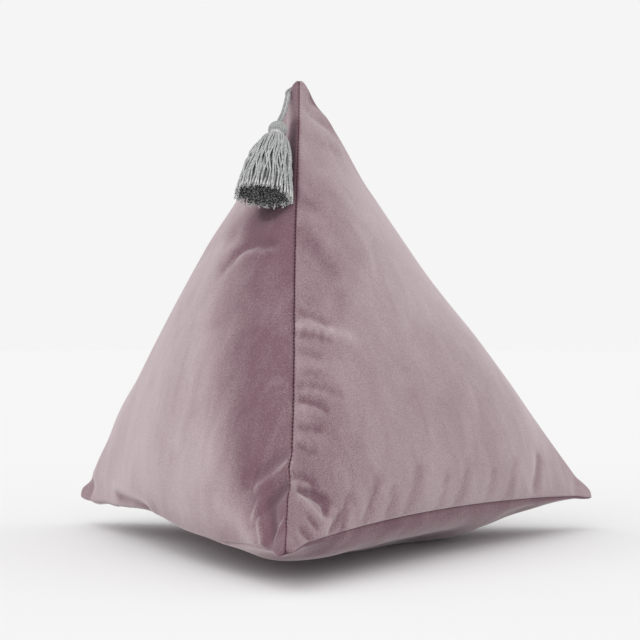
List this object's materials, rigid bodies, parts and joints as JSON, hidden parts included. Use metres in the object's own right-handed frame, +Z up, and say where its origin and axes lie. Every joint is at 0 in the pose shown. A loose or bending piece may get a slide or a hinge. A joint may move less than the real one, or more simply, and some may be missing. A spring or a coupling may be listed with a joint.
{
  "type": "pyramid cushion",
  "caption": "Velvet floor cushion shaped as a tetrahedron, with softly crowned panels, sewn corners and a yarn tassel on a cord loop below its point.",
  "frame": {"origin": "on the floor, in the flat patch of the base panel, straight below the centre of the triangle of base corners", "axes": "+Z up to the point of the cushion; -Y towards the front corner; the back seam of the base runs along X"},
  "size_m": [0.45, 0.3914, 0.3737],
  "materials": {
    "velvet": "short-pile velvet, dusty mauve",
    "yarn": "soft spun yarn, light grey",
    "binding_yarn": "wound yarn, light grey",
    "cord": "twisted cord, light grey"
  },
  "bodies": {
    "root": {"cushion": "velvet", "tassel": "yarn", "tassel_binding": "binding_yarn", "tassel_loop": "cord"}
  },
  "joints": []
}
